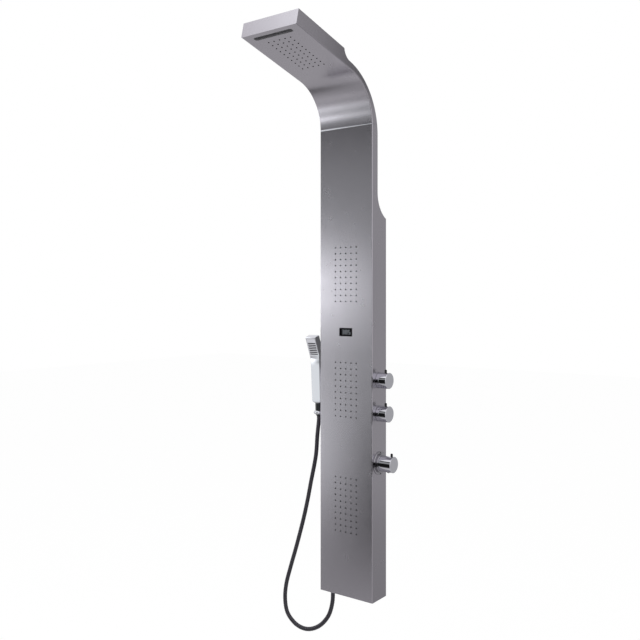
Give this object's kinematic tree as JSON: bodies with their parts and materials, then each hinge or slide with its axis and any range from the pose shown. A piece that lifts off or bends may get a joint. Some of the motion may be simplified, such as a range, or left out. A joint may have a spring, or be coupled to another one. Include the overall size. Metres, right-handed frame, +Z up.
{
  "type": "shower panel column",
  "caption": "Wall-hung stainless shower column with a curved rain and waterfall head, body jets, thermostatic mixer, diverters, digital display and a hand shower on a ribbed hose.",
  "frame": {"origin": "centre of the upper wall bracket's two screw holes, on the wall's surface", "axes": "+Z up along the column, +Y into the wall so that the column faces -Y, +X to the side that carries the knobs"},
  "size_m": [0.4386, 0.4596, 1.9034],
  "materials": {
    "stainless": "satin, brushed along the column",
    "chrome": "polished",
    "brass": "as cast and turned",
    "zinc_steel": "zinc plated",
    "white_plastic": "matt, moulded",
    "nozzle_rubber": "matt",
    "black_plastic": "gloss",
    "grey_plastic": "matt, moulded",
    "display_glass": "clear, tinted",
    "digit_print": "backlit",
    "hose_metal": "ribbed, dark chromed",
    "spring_steel": "drawn wire"
  },
  "bodies": {
    "column": {"lower_skin": "stainless", "upper_skin": "stainless", "seam_strip": "chrome", "bottom_plate": "stainless", "rear_cover_lower": "stainless", "rear_cover_neck": "stainless", "rear_cover_head": "stainless", "cover_screws": "zinc_steel", "hanger_bars": "zinc_steel", "wall_brackets": "zinc_steel", "rain_chamber": "white_plastic", "rain_nozzle_mat": "nozzle_rubber", "waterfall_spout": "grey_plastic", "waterfall_pipe": "white_plastic", "rain_pipe": "white_plastic", "jet_chamber_top": "white_plastic", "jet_chamber_middle": "white_plastic", "jet_chamber_bottom": "white_plastic", "jet_mat_top": "nozzle_rubber", "jet_mat_middle": "nozzle_rubber", "jet_mat_bottom": "nozzle_rubber", "jet_pipe": "white_plastic", "handset_pipe": "white_plastic", "diverter_body": "brass", "diverter_cartridges": "white_plastic", "mixer_body": "brass", "thermostat_cartridge": "white_plastic", "panel_nuts": "brass", "inlet_nipples": "brass", "mixed_pipe": "white_plastic", "thermostat_plate": "chrome", "plate_screws": "black_plastic", "display_bezel": "black_plastic", "display_window": "display_glass", "display_digits": "digit_print", "display_board": "black_plastic", "display_cable": "black_plastic", "turbine_housing": "white_plastic", "turbine_cap": "white_plastic", "holder": "chrome", "holder_screw": "chrome", "hose_outlet": "brass", "hose_nut": "chrome", "hose": "hose_metal"},
    "upper_diverter": {"knob_upper": "chrome", "grip_upper": "black_plastic", "spindle_upper": "brass"},
    "lower_diverter": {"knob_lower": "chrome", "grip_lower": "black_plastic", "spindle_lower": "brass"},
    "thermostat": {"thermostat_knob": "chrome", "thermostat_grip": "black_plastic", "thermostat_spindle": "brass", "stop_spring": "spring_steel"},
    "safety_stop": {"stop_button": "black_plastic"},
    "turbine": {"turbine_impeller": "black_plastic"},
    "hose_end": {"hose_cone": "black_plastic"},
    "hand_shower": {"handset_shell": "chrome", "handset_face": "chrome", "handset_nozzles": "nozzle_rubber"}
  },
  "joints": [
    {"name": "upper_diverter_turn", "type": "hinge", "parent": "column", "child": "upper_diverter", "pos_m": [0.12, -0.038, -0.458], "axis": [1, 0, 0], "range_deg": [-90, 90]},
    {"name": "lower_diverter_turn", "type": "hinge", "parent": "column", "child": "lower_diverter", "pos_m": [0.12, -0.038, -0.562], "axis": [1, 0, 0], "range_deg": [-90, 90]},
    {"name": "thermostat_turn", "type": "hinge", "parent": "column", "child": "thermostat", "pos_m": [0.13, -0.038, -0.717], "axis": [1, 0, 0], "range_deg": [-150, 60]},
    {"name": "stop_press", "type": "slide", "parent": "thermostat", "child": "safety_stop", "axis": [0, 0, 1], "range_m": [0, 0.0018], "stiffness_N_per_m": 300, "springref_m": -0.002, "deforming": ["stop_spring"]},
    {"name": "turbine_spin", "type": "hinge", "parent": "column", "child": "turbine", "pos_m": [-0.025, -0.038, -0.66], "axis": [0, 0, 1], "continuous": true},
    {"name": "hand_shower_lift", "type": "slide", "parent": "column", "child": "hose_end", "axis": [0, 0, 1], "range_m": [0, 0.06]},
    {"name": "hand_shower_turn", "type": "hinge", "parent": "hose_end", "child": "hand_shower", "pos_m": [-0.137, -0.038, -0.541], "axis": [0, 0, 1], "range_deg": [-90, 20]}
  ]
}
